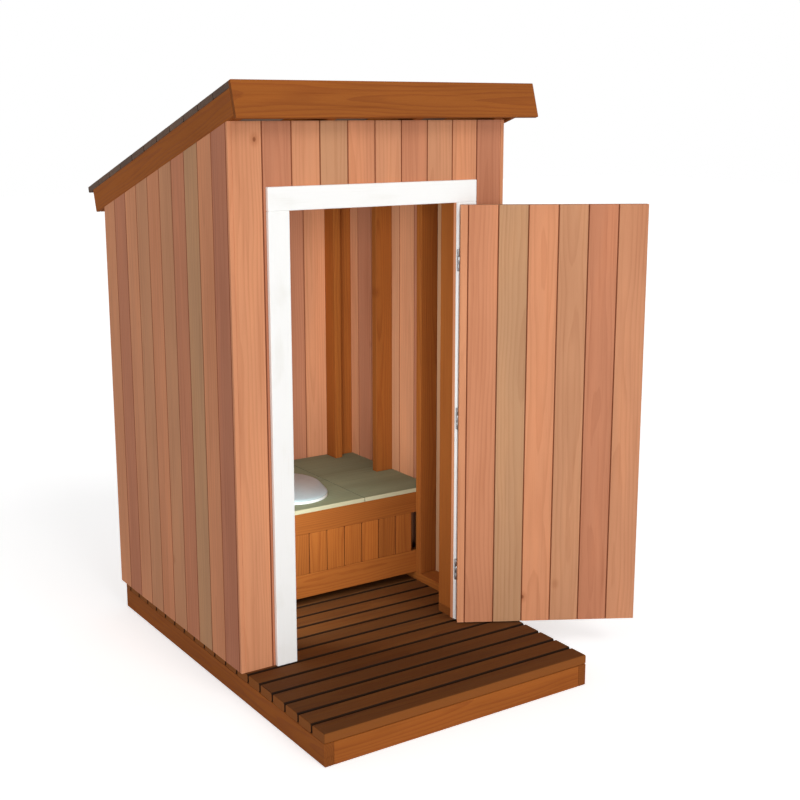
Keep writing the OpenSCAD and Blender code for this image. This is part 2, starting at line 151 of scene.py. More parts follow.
class OuthouseColours(bpy.types.PropertyGroup):
    """Colours that a user would change"""

    siding_russet: FloatVectorProperty(
        name="Siding, russet", description="Reddest tone of the siding boards", subtype="COLOR",
        default=tone(186, 122, 94))
    siding_honey: FloatVectorProperty(
        name="Siding, honey", description="Lightest tone of the siding boards", subtype="COLOR",
        default=tone(216, 148, 108))
    siding_tan: FloatVectorProperty(
        name="Siding, tan", description="Brownest tone of the siding boards", subtype="COLOR",
        default=tone(190, 145, 108))
    framing: FloatVectorProperty(
        name="Framing", description="Studs, rims, rafters, rails, slats and fascias", subtype="COLOR",
        default=tone(154, 87, 34))
    decking: FloatVectorProperty(
        name="Decking", description="Weathered top of the deck boards", subtype="COLOR",
        default=tone(107, 64, 28))
    deck_rim: FloatVectorProperty(
        name="Deck rim", description="Front edge and ends of the deck boards", subtype="COLOR",
        default=tone(142, 82, 34))
    bench: FloatVectorProperty(
        name="Bench", description="Weathered top of the bench", subtype="COLOR",
        default=tone(141, 146, 118))
    bench_rim: FloatVectorProperty(
        name="Bench rim", description="Front edge of the bench top", subtype="COLOR",
        default=tone(184, 174, 142))
    roofing: FloatVectorProperty(
        name="Roof boards", description="Greyed roof boards", subtype="COLOR",
        default=tone(112, 92, 80))
    paint: FloatVectorProperty(
        name="Paint", description="White paint on the door trim", subtype="COLOR",
        default=tone(252, 252, 250))
    ring: FloatVectorProperty(
        name="Seat ring", description="Seat ring", subtype="COLOR", default=tone(238, 238, 236))
    lid: FloatVectorProperty(
        name="Seat lid", description="Seat lid", subtype="COLOR", default=tone(174, 186, 188))
    hinge: FloatVectorProperty(
        name="Hinges", description="Steel of the hinges and their screws", subtype="COLOR",
        default=tone(150, 150, 152))


class Wire:
    """An output of a shader node. Arithmetic on it adds Math nodes."""

    def __init__(self, nodes, socket):
        self.nodes = nodes
        self.socket = socket

    def maths(self, operation, *others):
        return self.nodes.node("ShaderNodeMath", {"operation": operation},
                               dict(enumerate((self, *others))))[0]

    def __add__(self, other):
        return self.maths("ADD", other)

    def __sub__(self, other):
        return self.maths("SUBTRACT", other)

    def __rsub__(self, other):
        return self.nodes.node("ShaderNodeMath", {"operation": "SUBTRACT"}, {0: other, 1: self})[0]

    def __mul__(self, other):
        return self.maths("MULTIPLY", other)

    __radd__ = __add__
    __rmul__ = __mul__


class Nodes:
    """The nodes of a material or a world, all added by one method."""

    def __init__(self, tree):
        self.tree = tree

    def feed(self, socket, value):
        if isinstance(value, Wire):
            self.tree.links.new(value.socket, socket)
        elif isinstance(value, (tuple, list)) and socket.type == "RGBA" and len(value) == 3:
            socket.default_value = (*value, 1)
        else:
            socket.default_value = value

    def node(self, kind, settings=None, values=None):
        made = self.tree.nodes.new(kind)
        for key, value in (settings or {}).items():
            if key == "stops":
                self.set_stops(made.color_ramp, value)
            else:
                setattr(made, key, value)
        for key, value in (values or {}).items():
            self.feed(made.inputs[key], value)
        return [Wire(self, out) for out in made.outputs]

    def set_stops(self, ramp, stops):
        while len(ramp.elements) < len(stops):
            ramp.elements.new(0.5)
        for element, (place, colour) in zip(ramp.elements, stops):
            element.position = place
            element.color = (*colour, 1)

    def stored(self, name):
        """What a piece stores under a name, as a vector and as one value."""
        _, vector, value, _ = self.node("ShaderNodeAttribute", {"attribute_name": name})
        return vector, value

    def place_in_piece(self):
        """Place of each point from the piece's own origin."""
        _, _, _, place, *_ = self.node("ShaderNodeTexCoord")
        return place

    def noise(self, place, scale, detail=2.0, roughness=0.5):
        return self.node("ShaderNodeTexNoise", {}, {
            "Vector": place, "Scale": scale, "Detail": detail, "Roughness": roughness})[0]

    def stretch(self, place, factors):
        return self.node("ShaderNodeVectorMath", {"operation": "MULTIPLY"}, {0: place, 1: factors})[0]

    def shade(self, colour, amount, factor, blend="MULTIPLY"):
        """Mixes a colour with another by a factor. The colours of a Mix node are its inputs 6 and 7
        and its output 2."""
        return self.node("ShaderNodeMix", {"data_type": "RGBA", "blend_type": blend},
                         {0: factor, 6: colour, 7: amount})[2]

    def between(self, value, low, high):
        """Rises smoothly from 0 to 1 as the value goes from one limit to the other."""
        return self.node("ShaderNodeMapRange", {"interpolation_type": "SMOOTHSTEP"}, {
            "Value": value, "From Min": low, "From Max": high})[0]


class Finish(Nodes):
    """A material built from nodes around one surface shader."""

    def __init__(self, name, **settings):
        self.material = bpy.data.materials.new(name)
        self.material.use_nodes = True
        super().__init__(self.material.node_tree)
        self.surface = next(n for n in self.tree.nodes if n.type == "BSDF_PRINCIPLED")
        self.coat(**settings)

    def coat(self, **settings):
        """Feeds the surface shader's sockets, named with _ in place of spaces."""
        for socket, value in settings.items():
            self.feed(self.surface.inputs[socket.replace("_", " ")], value)

    def raise_surface(self, height, strength, distance):
        bump = self.node("ShaderNodeBump", {}, {
            "Strength": strength, "Distance": distance, "Height": height})[0]
        self.coat(Normal=bump)


def grey(value):
    return (value, value, value)


def tint(colour, *factors):
    """A colour with each channel scaled, and none past full."""
    return tuple(min(1.0, a * b) for a, b in zip(colour, factors))


def board_place(finish):
    """Place on a board, its number, and the place shifted by that number, so no two boards look alike."""
    grain, _ = finish.stored("grain")
    _, board = finish.stored("board")
    shift = finish.node("ShaderNodeCombineXYZ", {}, {
        axis: board * reach for axis, reach in BOARD_SHIFT.items()})[0]
    place = finish.node("ShaderNodeVectorMath", {"operation": "ADD"}, {0: grain, 1: shift})[0]
    return grain, board, place


def late_wood(finish, grain, board, place, ring_gap):
    """Share of dark late wood. Rings lie round a pith beside each board, at a place of its own, up to
    70 mm aside and 20 to 70 mm deep."""
    _, across, deep = finish.node("ShaderNodeSeparateXYZ", {}, {"Vector": grain})
    pith_across = (board * 91.7).maths("FRACT") * 0.14 - 0.07
    pith_deep = (board * 57.3).maths("FRACT") * 0.05 + 0.02
    wander = finish.noise(finish.stretch(place, (0.9, 5.0, 5.0)), 1.0, 2.0)
    ripple = finish.noise(finish.stretch(place, (5.0, 40.0, 40.0)), 1.0, 2.0)
    aside = across - pith_across
    down = deep + pith_deep
    radius = (aside * aside + down * down).maths("SQRT") + wander * 0.07 + ripple * 0.006
    ring = (radius * (1 / ring_gap)).maths("FRACT")
    return finish.between(ring, 0.35, 0.95) * finish.between(ring, 1.0, 0.93)


def add_knots(finish, colour, place):
    """A few small knots, each a dark heart in a darkened ring."""
    distance, spot, *_ = finish.node("ShaderNodeTexVoronoi", {"feature": "F1"}, {
        "Vector": finish.stretch(place, (5.5, 8.0, 0.0)), "Scale": 1.0, "Randomness": 1.0})
    pick = finish.node("ShaderNodeSeparateColor", {}, {"Color": spot})[0]
    here = finish.between(pick, 0.93, 0.94) * 0.8
    ring = finish.between(distance, 0.20, 0.05) * here * 0.6
    heart = finish.between(distance, 0.065, 0.035) * here * 0.85
    colour = finish.shade(colour, (0.66, 0.50, 0.38), ring)
    return finish.shade(colour, (0.34, 0.20, 0.12), heart)


def wood(name, tones, sides, ring_gap, ring_depth, fibre_depth, roughness=0.72, bump=0.35,
         grime=0.0, grime_colour=None):
    """Sawn or planed wood. Each board takes one of the tones, and sides gives marked faces a colour,
    with how it is blended and its share."""
    finish = Finish(name, Roughness=roughness, Specular_IOR_Level=0.15)
    grain, board, place = board_place(finish)
    stops = [(i / (len(tones) - 1), colour) for i, colour in enumerate(tones)]
    base = finish.node("ShaderNodeValToRGB", {"stops": stops}, {"Fac": board})[0]
    late = late_wood(finish, grain, board, place, ring_gap)
    fibres = finish.noise(finish.stretch(place, (9.0, 420.0, 420.0)), 1.0, 3.0, 0.6)
    streaks = finish.noise(finish.stretch(place, (1.6, 60.0, 60.0)), 1.0, 2.0, 0.55)
    drift = finish.noise(finish.stretch(place, (1.3, 9.0, 9.0)), 1.0, 2.0)

    colour = finish.shade(base, (0.60, 0.42, 0.30), late * ring_depth)
    colour = finish.shade(colour, (0.66, 0.52, 0.42), finish.between(streaks, 0.52, 0.78) * fibre_depth)
    colour = finish.shade(colour, (0.72, 0.62, 0.55), finish.between(fibres, 0.5, 0.8) * fibre_depth)
    colour = finish.shade(colour, (1.16, 1.12, 1.06), finish.between(drift, 0.45, 0.75) * 0.6)
    colour = finish.shade(colour, (0.84, 0.78, 0.74), finish.between(drift, 0.55, 0.25) * 0.5)
    colour = add_knots(finish, colour, place)
    if grime:
        blotch = finish.noise(finish.stretch(place, (3.0, 11.0, 11.0)), 1.0, 4.0, 0.6)
        colour = finish.shade(colour, grime_colour, finish.between(blotch, 0.42, 0.75) * grime, "MIX")
    for mark_name, (side_colour, blend, share) in sides.items():
        _, mark = finish.stored(mark_name)
        colour = finish.shade(colour, side_colour, mark * share, blend)

    finish.coat(Base_Color=colour, Roughness=fibres * 0.18 - late * 0.12 + (roughness - 0.06))
    finish.raise_surface(fibres, bump, 0.0012)
    return finish.material


def painted_wood(name, paint):
    """White paint over planed wood: the grain shows as faint ridges, with a little dust in places."""
    finish = Finish(name, Specular_IOR_Level=0.4)
    place = board_place(finish)[2]
    fibres = finish.noise(finish.stretch(place, (6.0, 300.0, 300.0)), 1.0, 3.0)
    brush = finish.noise(finish.stretch(place, (2.0, 90.0, 90.0)), 1.0, 2.0)
    dust = finish.noise(finish.stretch(place, (5.0, 14.0, 14.0)), 1.0, 3.0)
    colour = finish.shade(paint, (0.90, 0.89, 0.86), finish.between(dust, 0.5, 0.8) * 0.6)
    colour = finish.shade(colour, (0.93, 0.92, 0.90), finish.between(fibres, 0.55, 0.8) * 0.5)
    finish.coat(Base_Color=colour, Roughness=brush * 0.2 + 0.38)
    finish.raise_surface(fibres * 0.5 + brush * 0.5, 0.25, 0.0008)
    return finish.material


def moulded_plastic(name, plastic, roughness):
    """Moulded plastic with fine orange peel and wear that dulls its shine in places."""
    finish = Finish(name, Coat_Weight=0.25, Coat_Roughness=0.15)
    place = finish.place_in_piece()
    scuffs = finish.noise(place, 28.0, 4.0, 0.62)
    peel = finish.noise(place, 420.0, 1.0)
    colour = finish.shade(plastic, (0.86, 0.86, 0.85), finish.between(scuffs, 0.48, 0.75) * 0.45)
    finish.coat(Base_Color=colour, Roughness=scuffs * 0.22 + (roughness - 0.1))
    finish.raise_surface(peel + scuffs * 0.4, 0.12, 0.0004)
    return finish.material


def zinc_steel(name, steel):
    """Zinc-plated steel with drawn lines and dull blotches."""
    finish = Finish(name, Metallic=0.9)
    place = finish.place_in_piece()
    lines = finish.noise(finish.stretch(place, (300.0, 300.0, 12.0)), 1.0, 2.0)
    bloom = finish.noise(place, 55.0, 3.0)
    colour = finish.shade(steel, (0.62, 0.60, 0.56), finish.between(bloom, 0.5, 0.72) * 0.7)
    finish.coat(Base_Color=colour, Roughness=bloom * 0.25 + lines * 0.12 + 0.22)
    finish.raise_surface(lines, 0.1, 0.0003)
    return finish.material


def only(obj):
    """Leaves nothing selected but this object, which becomes the active one."""
    bpy.ops.object.select_all(action="DESELECT")
    obj.select_set(True)
    bpy.context.view_layer.objects.active = obj


def axes(kind):
    """Rows along, across and into a board that lies in one of the ways named here."""
    sizes = bpy.context.scene.outhouse_sizes
    slope, turn = sizes.roof_pitch, sizes.door_angle
    fall = Vector((0, math.cos(slope), -math.sin(slope)))
    rise = Vector((0, math.sin(slope), math.cos(slope)))
    leaf = Vector((math.cos(turn), math.sin(turn), 0))
    face = Vector((-math.sin(turn), math.cos(turn), 0))
    x, y, z = Vector((1, 0, 0)), Vector((0, 1, 0)), Vector((0, 0, 1))
    return Matrix({
        "upright": (z, x, y), "upright_side": (z, y, x), "deep": (y, x, z), "deep_edge": (y, z, x),
        "wide": (x, y, z), "wide_edge": (x, z, y), "fall_edge": (fall, rise, x),
        "roof": (x, fall, rise), "roof_edge": (x, rise, fall),
        "door_upright": (z, leaf, face), "door_wide": (leaf, z, face),
    }[kind])


def loose_parts(mesh):
    """Vertex numbers of each separate solid in a mesh, in a fixed order."""
    parent = list(range(len(mesh.vertices)))

    def root(i):
        while parent[i] != i:
            parent[i] = parent[parent[i]]
            i = parent[i]
        return i

    for edge in mesh.edges:
        a, b = (root(v) for v in edge.vertices)
        if a != b:
            parent[max(a, b)] = min(a, b)
    parts = {}
    for i in range(len(mesh.vertices)):
        parts.setdefault(root(i), []).append(i)
    return [parts[key] for key in sorted(parts)]


def mark_grain(obj, kind, number_of):
    """Stores what the wood finishes read: place on the board, the board's number, and which faces are cut
    ends, sides in a joint, where several finishes paint shade, or the outermost sides of the whole piece.
    The number comes from a function of the board's middle."""
    mesh = obj.data
    turn = axes(kind)
    for name, (value, domain) in MARKS.items():
        mesh.attributes.new(name, value, domain)
    grain, board, cut, joint, rim = (mesh.attributes[name].data for name in MARKS)
    across = [(turn @ v.co)[1] for v in mesh.vertices]
    limits = min(across), max(across)
    for part in loose_parts(mesh):
        points = [turn @ mesh.vertices[i].co for i in part]
        middle = [(min(p[k] for p in points) + max(p[k] for p in points)) / 2 for k in range(3)]
        number = number_of(turn.transposed() @ Vector(middle))
        for i, p in zip(part, points):
            grain[i].vector = p - Vector(middle)
            board[i].value = number
    for face in mesh.polygons:
        along, sideways, out = (abs(value) for value in turn @ face.normal)
        reach = min(abs((turn @ face.center)[1] - v) for v in limits)
        outermost = sideways > SLANTED and reach < RIM_REACH
        cut[face.index].value = float(along > SQUARE)
        rim[face.index].value = float(along <= SQUARE and outermost)
        joint[face.index].value = float(along <= SQUARE and out < SQUARE and not outermost)


def dress(obj, material, slot_name, body, *nodes):
    """Gives a finished piece its material and its body, and hides the CAD nodes that it stands for."""
    obj.data.materials.clear()
    obj.data.materials.append(material)
    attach(obj, body)
    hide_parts(*nodes)


def round_edges(obj, width, segments=2, angle=30):
    """Rounds the edges of a piece that are sharper than an angle in degrees."""
    only(obj)
    bevel = obj.modifiers.new("Rounded edges", "BEVEL")
    bevel.width = width
    bevel.segments = segments
    bevel.limit_method = "ANGLE"
    bevel.angle_limit = math.radians(angle)
    bpy.ops.object.modifier_apply(modifier=bevel.name)


def smooth(obj):
    """Shades a piece smooth, apart from its sharp edges."""
    only(obj)
    bpy.ops.object.shade_smooth_by_angle(angle=SHARP)


def solid_copy(node, name):
    """A copy of a CAD node as one clean mesh, with its flat faces whole."""
    obj = bpy.data.objects.new(name, NODES[node].data.copy())
    bpy.context.scene.collection.objects.link(obj)
    only(obj)
    bpy.ops.object.mode_set(mode="EDIT")
    bpy.ops.mesh.select_all(action="SELECT")
    bpy.ops.mesh.remove_doubles(threshold=SAME_PLACE)
    bpy.ops.mesh.dissolve_limited(angle_limit=SAME_PLANE)
    bpy.ops.mesh.customdata_custom_splitnormals_clear()
    bpy.ops.object.mode_set(mode="OBJECT")
    bpy.ops.object.shade_flat()
    return obj


def lumber(node, kind, material, slot_name, numbers, body="house", edge=None):
    """Sawn pieces with eased edges in place of a plain CAD node."""
    sizes = bpy.context.scene.outhouse_sizes
    obj = solid_copy(node, node + "_wood")
    round_edges(obj, sizes.eased_edge if edge is None else edge)
    mark_grain(obj, kind, lambda middle: numbers.random())
    dress(obj, material, slot_name, body, node)
    return obj


def add_box(low, high):
    """A box primitive between two corners, with its place in its mesh."""
    low, high = Vector(low), Vector(high)
    bpy.ops.object.select_all(action="DESELECT")
    bpy.ops.mesh.primitive_cube_add(size=1, location=(low + high) / 2)
    obj = bpy.context.object
    obj.scale = high - low
    bpy.ops.object.transform_apply(location=True, rotation=True, scale=True)
    return obj


def carve(obj, cutter):
    """Cuts one solid out of another and removes the cutter."""
    only(obj)
    cut = obj.modifiers.new("Cut", "BOOLEAN")
    cut.operation = "DIFFERENCE"
    cut.solver = "EXACT"
    cut.object = cutter
    bpy.ops.object.modifier_apply(modifier=cut.name)
    bpy.data.objects.remove(cutter)


def placed_copy(master, name, place):
    """A copy of a piece with a mesh of its own, moved to its place."""
    obj = bpy.data.objects.new(name, master.data.copy())
    obj.data.transform(place)
    bpy.context.scene.collection.objects.link(obj)
    return obj


def joined(pieces, name):
    """Several objects as one, under a new name."""
    only(pieces[0])
    for piece in pieces:
        piece.select_set(True)
    bpy.ops.object.join()
    pieces[0].name = name
    return pieces[0]


def screw_head(radius, height):
    """One screw head in the plane of y 0, its rounded top with a cross recess towards -y."""
    bpy.ops.object.select_all(action="DESELECT")
    bpy.ops.mesh.primitive_cylinder_add(vertices=32, radius=radius, depth=height,
                                        rotation=(math.pi / 2, 0, 0))
    obj = bpy.context.object
    bpy.ops.object.transform_apply(location=True, rotation=True, scale=True)
    round_edges(obj, height / 4, angle=40)
    reach, half, bed = radius * 0.6, radius * 0.13, -height * 0.2
    for x, z in ((reach, half), (half, reach)):
        carve(obj, add_box((-x, -height, -z), (x, bed, z)))
    smooth(obj)
    return obj


def tongue_board(length, thick):
    """One tongue and groove board that stands on the origin, with its outer face at y 0."""
    sizes = bpy.context.scene.outhouse_sizes
    obj = add_box((0, 0, 0), (sizes.board_module - BOARD_GAP, thick, length))
    bpy.ops.object.mode_set(mode="EDIT")
    bpy.ops.mesh.select_mode(type="EDGE")
    bpy.ops.mesh.select_all(action="DESELECT")
    bm = bmesh.from_edit_mesh(obj.data)
    for edge in bm.edges:
        a, b = (v.co for v in edge.verts)
        edge.select_set(abs(a.z - b.z) > length / 2)
    bmesh.update_edit_mesh(obj.data)
    bpy.ops.mesh.bevel(offset=sizes.siding_joint, segments=1, affect="EDGES")
    for share in TONGUE_SPAN:
        bpy.ops.mesh.select_all(action="SELECT")
        bpy.ops.mesh.bisect(plane_co=(0, thick * share, 0), plane_no=(0, 1, 0))
    bpy.ops.mesh.select_mode(type="FACE")
    bpy.ops.mesh.select_all(action="DESELECT")
    bm = bmesh.from_edit_mesh(obj.data)
    for face in bm.faces:
        share = face.calc_center_median().y / thick
        face.select_set(face.normal.x > SQUARE and TONGUE_SPAN[0] < share < TONGUE_SPAN[1])
    bmesh.update_edit_mesh(obj.data)
    bpy.ops.mesh.extrude_region_move(TRANSFORM_OT_translate={"value": (sizes.tongue, 0, 0)})
    bpy.ops.object.mode_set(mode="OBJECT")
    low, high = (thick * share for share in GROOVE_SPAN)
    carve(obj, add_box((-PAST, low, -PAST), (sizes.tongue + PAST, high, length + PAST)))
    return obj


def slice_off(obj, point, normal):
    """Cuts away what lies past a plane and closes the cut."""
    only(obj)
    bpy.ops.object.mode_set(mode="EDIT")
    bpy.ops.mesh.select_all(action="SELECT")
    bpy.ops.mesh.bisect(plane_co=point, plane_no=normal, use_fill=True, clear_outer=True)
    bpy.ops.object.mode_set(mode="OBJECT")


def boarding(name, start, from_x, to_x, low, high, thick, place):
    """Tongue and groove boards side by side from one place to another along a wall."""
    module = bpy.context.scene.outhouse_sizes.board_module
    first = math.floor((from_x - start) / module + SLIVER)
    last = math.ceil((to_x - start) / module - SLIVER)
    master = tongue_board(high - low, thick)
    copies = [placed_copy(master, name, Matrix.Translation((start + k * module, 0, low)))
              for k in range(first, last)]
    bpy.data.objects.remove(master)
    obj = joined(copies, name)
    if start + first * module < from_x - SLIVER * module:
        slice_off(obj, (from_x, 0, 0), (-1, 0, 0))
    slice_off(obj, (to_x, 0, 0), (1, 0, 0))
    obj.data.transform(place)
    return obj


def board_numbers(seed):
    """Fixed random numbers for the boards of one wall, well apart from neighbour to neighbour."""
    numbers = random.Random(seed)
    values = []
    while len(values) < BOARDS_BEHIND + BOARDS_AHEAD:
        value = numbers.random()
        if not values or abs(value - values[-1]) >= LEAST_STEP:
            values.append(value)
    return values


def sidings(name, kind, seed, start, from_x, to_x, low, high, thick, place, body="house", cuts=()):
    """Finished siding in place of the CAD node of that name."""
    module = bpy.context.scene.outhouse_sizes.board_module
    obj = boarding(name + "_boards", start, from_x, to_x, low, high, thick, place)
    for point, normal in cuts:
        slice_off(obj, point, normal)
    values, back = board_numbers(seed), place.inverted()

    def number_of(middle):
        return values[math.floor(((back @ middle).x - start) / module) + BOARDS_BEHIND]

    mark_grain(obj, kind, number_of)
    dress(obj, material_of(siding_finish), "siding_wood", body, name)
    return obj


DARK_ENDS = (grey(0.72), "MULTIPLY", 1.0)


def siding_finish(colours):
    russet, honey, tan = (tuple(c) for c in (colours.siding_russet, colours.siding_honey,
                                             colours.siding_tan))
    tones = [russet, tint(honey, 0.86, 0.82, 0.85), honey, tint(honey, 0.9, 0.93, 0.97), tan]
    # The brown darkening of the joint faces is painted shade in the V-grooves between the boards,
    # together with some dirt there.
    return wood("siding_boards", tones, ring_gap=0.013, ring_depth=0.2, fibre_depth=0.26,
                sides={"end_cut": DARK_ENDS, "joint": ((0.46, 0.34, 0.28), "MULTIPLY", 1.0)})


def framing_finish(colours, name="framing_lumber", **sides):
    base = tuple(colours.framing)
    tones = [tint(base, 0.88, 0.86, 0.84), base, tint(base, 1.1, 1.09, 1.05)]
    return wood(name, tones, ring_gap=0.010, ring_depth=0.4, fibre_depth=0.4, roughness=0.78,
                bump=0.5, sides={"end_cut": DARK_ENDS, **sides})


def slatting_finish(colours):
    # The dark joint faces are painted shade in the gaps between the slats.
    return framing_finish(colours, "slatting_lumber", joint=((0.30, 0.22, 0.18), "MULTIPLY", 1.0))


def decking_finish(colours):
    base, pale = tuple(colours.decking), (tuple(colours.deck_rim), "MIX", 0.85)
    tones = [tint(base, 0.86, 0.86, 0.88), base, tint(base, 1.12, 1.1, 1.05)]
    # The near black joint faces are painted shade in the gaps between the deck boards, with some dirt.
    return wood("deck_boards_stain", tones, ring_gap=0.009, ring_depth=0.45, fibre_depth=0.45,
                roughness=0.8, bump=0.6, grime=0.2, grime_colour=tone(70, 50, 34),
                sides={"end_cut": pale, "rim": pale, "joint": (grey(0.16), "MULTIPLY", 1.0)})


def bench_finish(colours):
    base, pale = tuple(colours.bench), (tuple(colours.bench_rim), "MIX", 0.85)
    # This dark on the joint faces is painted shade in the gaps of the bench top, and the cut ends take
    # the same dark.
    dark = (grey(0.2), "MULTIPLY", 1.0)
    return wood("bench_panels", [tint(base, 0.94, 0.94, 0.92), base], ring_gap=0.016,
                ring_depth=0.3, fibre_depth=0.3, roughness=0.7, grime=0.25,
                grime_colour=tone(120, 122, 88), sides={"end_cut": dark, "joint": dark, "rim": pale})


def roofing_finish(colours):
    base = tuple(colours.roofing)
    tones = [tint(base, 0.86, 0.86, 0.88), base, tint(base, 1.14, 1.12, 1.1)]
    # The near black joint faces are painted shade in the gaps between the roof boards.
    return wood("roof_boards_grey", tones, ring_gap=0.012, ring_depth=0.4, fibre_depth=0.5,
                roughness=0.86, bump=0.6, grime=0.35, grime_colour=tone(88, 78, 72),
                sides={"joint": (grey(0.12), "MULTIPLY", 1.0)})


def paint_finish(colours):
    return painted_wood("white_paint", tuple(colours.paint))


def ring_finish(colours):
    return moulded_plastic("ring_plastic", tuple(colours.ring), 0.3)


def lid_finish(colours):
    return moulded_plastic("lid_plastic", tuple(colours.lid), 0.36)


def zinc_finish(colours):
    return zinc_steel("hinge_zinc", tuple(colours.hinge))


MATERIALS = {}


def material_of(finish):
    """The material that one of the functions above makes, made once and shared by the pieces."""
    if finish not in MATERIALS:
        MATERIALS[finish] = finish(bpy.context.scene.outhouse_colours)
    return MATERIALS[finish]


class OUTHOUSE_OT_floor(bpy.types.Operator):
    """Rims, joists and deck boards of the floor"""

    bl_idname = "outhouse.floor"
    bl_label = "Floor"

    def execute(self, context):
        numbers = random.Random(11)
        framing = material_of(framing_finish)
        for node, kind in (("rim_left", "deep_edge"), ("rim_right", "deep_edge"),
                           ("rim_front", "wide_edge"), ("rim_back", "wide_edge"),
                           ("floor_joists", "deep_edge")):
            lumber(node, kind, framing, "frame_wood", numbers)
        lumber("deck_boards", "wide", material_of(decking_finish), "deck_wood", numbers)
        return {"FINISHED"}


class OUTHOUSE_OT_walls(bpy.types.Operator):
    """Plates, studs and header of the four walls"""

    bl_idname = "outhouse.walls"
    bl_label = "Wall frames"

    def execute(self, context):
        numbers = random.Random(23)
        framing = material_of(framing_finish)
        for side in ("left", "right"):
            lumber(side + "_wall_plates", "deep", framing, "frame_wood", numbers)
            lumber(side + "_wall_studs", "upright", framing, "frame_wood", numbers)
        for wall in ("back", "front"):
            lumber(wall + "_wall_plates", "wide", framing, "frame_wood", numbers)
            lumber(wall + "_wall_studs", "upright", framing, "frame_wood", numbers)
        lumber("door_header", "wide_edge", framing, "frame_wood", numbers)
        return {"FINISHED"}


class OUTHOUSE_OT_siding(bpy.types.Operator):
    """Tongue and groove boards on the outside of the walls"""

    bl_idname = "outhouse.siding"
    bl_label = "Siding"

    def execute(self, context):
        pitch = context.scene.outhouse_sizes.roof_pitch
        rise = Vector((0, math.sin(pitch), math.cos(pitch)))
        quarter = Matrix.Rotation(math.pi / 2, 4, "Z")
        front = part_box("front_siding_left")[0].x
        for name, seed in (("left_siding", 3014), ("right_siding", 1459), ("back_siding", 614),
                           ("front_siding_left", 6269), ("front_siding_right", 6269),
                           ("front_siding_over_door", 6269)):
            low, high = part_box(name)
            top = (Vector((0, low.y, high.z)), rise)
            if name in ("left_siding", "right_siding"):
                sidings(name, "upright_side", seed, high.y, low.y, high.y, low.z, high.z,
                        high.x - low.x, Matrix.Translation((high.x, 0, 0)) @ quarter, cuts=[top])
            else:
                sidings(name, "upright", seed, front, low.x, high.x, low.z, high.z,
                        high.y - low.y, Matrix.Translation((0, low.y, 0)), cuts=[top])
        return {"FINISHED"}


class OUTHOUSE_OT_trim(bpy.types.Operator):
    """White boards round the doorway"""

    bl_idname = "outhouse.trim"
    bl_label = "Door trim"

    def execute(self, context):
        numbers = random.Random(31)
        paint = material_of(paint_finish)
        for node, kind in (("door_trim_left", "upright"), ("door_trim_right", "upright"),
                           ("door_trim_head", "wide_edge")):
            lumber(node, kind, paint, "white_wood", numbers)
        return {"FINISHED"}


class OUTHOUSE_OT_roof(bpy.types.Operator):
    """Rafters, roof boards, fascias and barge boards"""

    bl_idname = "outhouse.roof"
    bl_label = "Roof"

    def execute(self, context):
        numbers = random.Random(43)
        framing = material_of(framing_finish)
        for node, kind in (("rafters", "fall_edge"), ("left_barge_board", "fall_edge"),
                           ("right_barge_board", "fall_edge"), ("front_fascia", "roof_edge"),
                           ("back_fascia", "roof_edge")):
            lumber(node, kind, framing, "frame_wood", numbers)
        lumber("roof_boards", "roof", material_of(roofing_finish), "roof_wood", numbers)
        return {"FINISHED"}


class OUTHOUSE_OT_bench(bpy.types.Operator):
    """Bench panels, rails, slats and bearers"""

    bl_idname = "outhouse.bench"
    bl_label = "Bench"

    def execute(self, context):
        numbers = random.Random(59)
        framing = material_of(framing_finish)
        edge = context.scene.outhouse_sizes.sharp_edge
        for part in ("left", "middle", "right"):
            lumber("bench_top_" + part, "wide", material_of(bench_finish), "bench_wood", numbers,
                   edge=2 * edge)
        for node, kind in (("bench_top_rail", "wide_edge"), ("bench_bottom_rail", "wide_edge"),
                           ("bench_bearers", "deep_edge")):
            lumber(node, kind, framing, "frame_wood", numbers, edge=edge)
        lumber("bench_slats", "upright", material_of(slatting_finish), "frame_wood", numbers)
        return {"FINISHED"}


class OUTHOUSE_OT_seat(bpy.types.Operator):
    """Seat ring and lid"""

    bl_idname = "outhouse.seat"
    bl_label = "Seat"

    def execute(self, context):
        for node, finish, body, slot_name in (("seat_ring", ring_finish, "house", "white_plastic"),
                                              ("seat_lid", lid_finish, "lid", "grey_plastic")):
            obj = solid_copy(node, node + "_moulding")
            round_edges(obj, SEAT_EDGE, segments=3, angle=25)
            smooth(obj)
            dress(obj, material_of(finish), slot_name, body, node)
        return {"FINISHED"}


class OUTHOUSE_OT_door(bpy.types.Operator):
    """Boards, stiles and rails of the door"""

    bl_idname = "outhouse.door"
    bl_label = "Door"

    def execute(self, context):
        sizes = context.scene.outhouse_sizes
        numbers = random.Random(67)
        turn = Matrix.Rotation(sizes.door_angle, 4, "Z")
        leaf = Matrix.Translation(DOOR_AXIS) @ turn
        points = [leaf.inverted() @ v.co for v in NODES["door_boards"].data.vertices]
        low = Vector(min(p[k] for p in points) for k in range(3))
        high = Vector(max(p[k] for p in points) for k in range(3))
        sidings("door_boards", "door_upright", 8211, low.x, low.x, high.x, low.z, high.z,
                high.y - low.y, leaf @ Matrix.Translation((0, low.y, 0)), body="door")
        for node, kind in (("door_stiles", "door_upright"), ("door_rails", "door_wide")):
            lumber(node, kind, material_of(siding_finish), "door_wood", numbers, body="door",
                   edge=sizes.sharp_edge)
        return {"FINISHED"}


